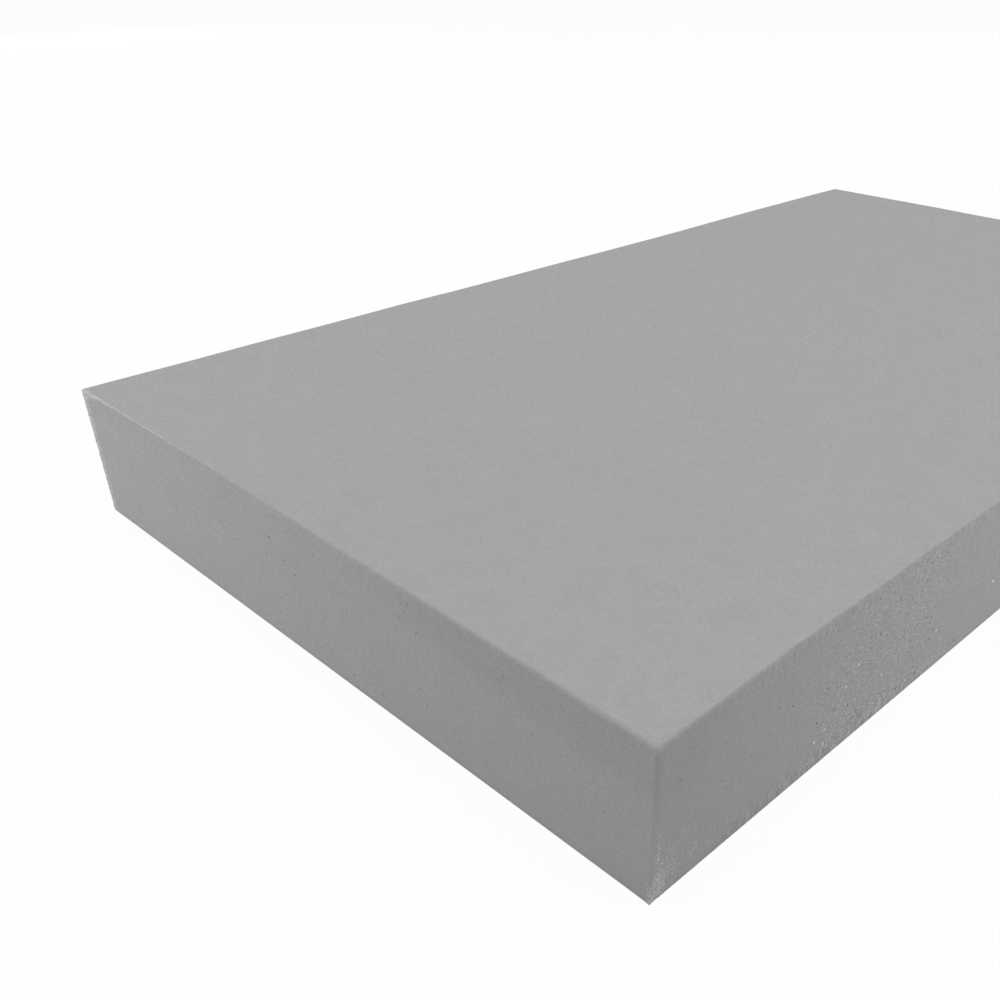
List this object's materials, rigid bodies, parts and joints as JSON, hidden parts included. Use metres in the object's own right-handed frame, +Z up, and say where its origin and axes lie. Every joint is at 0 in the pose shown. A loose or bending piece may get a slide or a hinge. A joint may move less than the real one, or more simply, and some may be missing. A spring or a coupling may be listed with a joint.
{
  "type": "foam sheet",
  "caption": "Flat rectangular sheet of grey closed-cell foam with a smooth skinned face, sawn sides and lightly rounded edges, for padding, lining or cutting to shape.",
  "frame": {"origin": "centre of the underside", "axes": "+X along the length, +Y across the width, +Z up through the thickness from the underside to the top face"},
  "size_m": [0.3, 0.17, 0.03],
  "materials": {
    "foam": "matte closed-cell foam, smooth on the faces and sawn on the sides"
  },
  "bodies": {
    "root": {"foam_sheet": "foam"}
  },
  "joints": []
}
